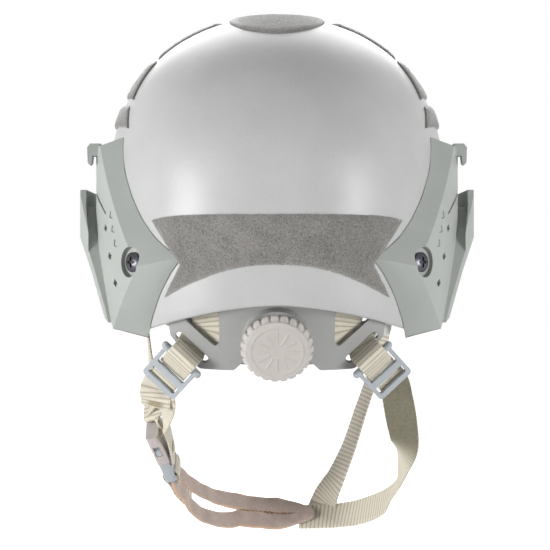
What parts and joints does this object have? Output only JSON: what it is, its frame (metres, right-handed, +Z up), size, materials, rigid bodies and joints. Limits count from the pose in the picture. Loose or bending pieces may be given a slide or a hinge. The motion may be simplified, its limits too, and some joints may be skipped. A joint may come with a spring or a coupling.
{
  "type": "combat helmet",
  "caption": "High-cut combat helmet with hook-and-loop panels, side accessory rails, a front shroud, a dial-fit nape cradle and a webbing chin strap with a suede chin cup.",
  "frame": {"origin": "centre of the head opening at brow level, on the middle plane", "axes": "+Z up towards the crown, +Y towards the front of the helmet, +X towards the wearer's right"},
  "size_m": [0.254, 0.2842, 0.3481],
  "materials": {
    "shell_polymer": "satin moulded light grey",
    "loop_tape": "short grey loop pile",
    "dark_steel": "blackened",
    "rail_polymer": "fine moulded texture",
    "liner_foam": "black padded cloth",
    "cradle_polymer": "satin",
    "knob_polymer": "satin",
    "band_acetal": "smooth",
    "webbing": "ribbed webbing",
    "buckle_polymer_warm": "semi-gloss",
    "buckle_polymer_cool": "semi-gloss",
    "suede": "napped"
  },
  "bodies": {
    "helmet": {"shell": "shell_polymer", "loop_crown": "loop_tape", "loop_rear": "loop_tape", "loop_front": "loop_tape", "loop_side_upper_left": "loop_tape", "loop_side_upper_right": "loop_tape", "loop_side_lower_left": "loop_tape", "loop_side_lower_right": "loop_tape", "rail_left": "rail_polymer", "rail_right": "rail_polymer", "rail_screws": "dark_steel", "rail_nuts": "dark_steel", "shroud": "rail_polymer", "shroud_screws": "dark_steel", "shroud_nuts": "dark_steel", "pad_crown": "liner_foam", "pad_front": "liner_foam", "pad_side_left": "liner_foam", "pad_side_right": "liner_foam", "pad_rear_left": "liner_foam", "pad_rear_right": "liner_foam", "nape_cradle": "cradle_polymer", "cradle_cover": "cradle_polymer", "cover_screws": "dark_steel", "nape_pad": "liner_foam", "nape_strap_left": "webbing", "nape_strap_right": "webbing", "slider_left": "buckle_polymer_cool", "slider_right": "buckle_polymer_cool", "rear_strap_left": "webbing", "rear_strap_right": "webbing", "front_strap_left": "webbing", "front_strap_right": "webbing", "strap_tail": "webbing", "strap_anchor_left": "dark_steel", "strap_anchor_right": "dark_steel", "buckle_loop_strap": "webbing", "buckle_socket": "buckle_polymer_warm"},
    "dial": {"dial_knob": "knob_polymer", "dial_screw": "dark_steel", "dial_pinion": "band_acetal"},
    "band_right_body": {"band_right": "band_acetal"},
    "band_left_body": {"band_left": "band_acetal"},
    "plug": {"buckle_plug": "buckle_polymer_cool", "chin_cup": "suede"},
    "prong_front_body": {"prong_front": "buckle_polymer_cool"},
    "prong_rear_body": {"prong_rear": "buckle_polymer_cool"}
  },
  "joints": [
    {"name": "dial_turn", "type": "hinge", "parent": "helmet", "child": "dial", "pos_m": [0, -0.1086, -0.0477], "axis": [0, -0.9135, -0.4067], "range_deg": [-90, 20]},
    {"name": "band_right_slide", "type": "slide", "parent": "helmet", "child": "band_right_body", "axis": [1, 0, 0], "range_m": [-0.0081, 0.0019]},
    {"name": "band_left_slide", "type": "slide", "parent": "helmet", "child": "band_left_body", "axis": [-1, 0, 0], "range_m": [-0.0081, 0.0019]},
    {"name": "buckle_release", "type": "slide", "parent": "helmet", "child": "plug", "axis": [0.2901, 0.6003, -0.7453], "range_m": [0, 0.022], "deforming": ["chin_cup", "prong_front", "prong_rear"]},
    {"name": "prong_front_flex", "type": "hinge", "parent": "plug", "child": "prong_front_body", "pos_m": [-0.07397, 0.00124, -0.12245], "axis": [-0.957, 0.182, -0.226], "range_deg": [-7, 0], "stiffness_Nm_per_rad": 0.5},
    {"name": "prong_rear_flex", "type": "hinge", "parent": "plug", "child": "prong_rear_body", "pos_m": [-0.07397, -0.01184, -0.13299], "axis": [-0.957, 0.182, -0.226], "range_deg": [0, 7], "stiffness_Nm_per_rad": 0.5}
  ],
  "couplings": [
    {"joint": "band_right_slide", "follows": "dial_turn", "m_per_rad": 0.005093},
    {"joint": "band_left_slide", "follows": "dial_turn", "m_per_rad": 0.005093}
  ]
}
